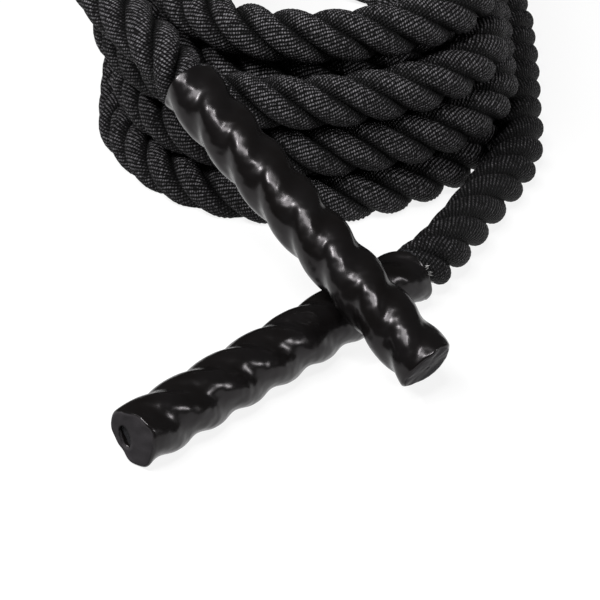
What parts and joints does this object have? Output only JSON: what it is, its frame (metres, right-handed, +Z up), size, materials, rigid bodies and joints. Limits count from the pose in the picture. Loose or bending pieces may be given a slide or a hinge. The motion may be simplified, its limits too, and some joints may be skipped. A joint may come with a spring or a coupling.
{
  "type": "battle rope",
  "caption": "Heavy three-strand training rope piled in an oval coil, with a twisted heat-shrunk grip on each end, the grips crossed in front.",
  "frame": {"origin": "on the floor, under the middle of the whole rope as it lies", "axes": "+Z up, +Y from the crossed grips towards the back of the pile, +X to the right as seen from the grips"},
  "size_m": [0.3582, 0.7972, 0.1794],
  "materials": {
    "rope_yarn": "matt black multifilament yarn",
    "whipping_tape": "plain black cloth-backed tape",
    "heat_shrink": "glossy black polyolefin shrunk over the strands"
  },
  "bodies": {
    "root": {"rope_coil": "rope_yarn", "lower_lead": "rope_yarn", "upper_lead": "rope_yarn", "lower_strand_1": "rope_yarn", "lower_strand_2": "rope_yarn", "lower_strand_3": "rope_yarn", "upper_strand_1": "rope_yarn", "upper_strand_2": "rope_yarn", "upper_strand_3": "rope_yarn", "lower_end_binding": "whipping_tape", "upper_end_binding": "whipping_tape", "lower_grip_sleeve": "heat_shrink", "upper_grip_sleeve": "heat_shrink"}
  },
  "joints": []
}
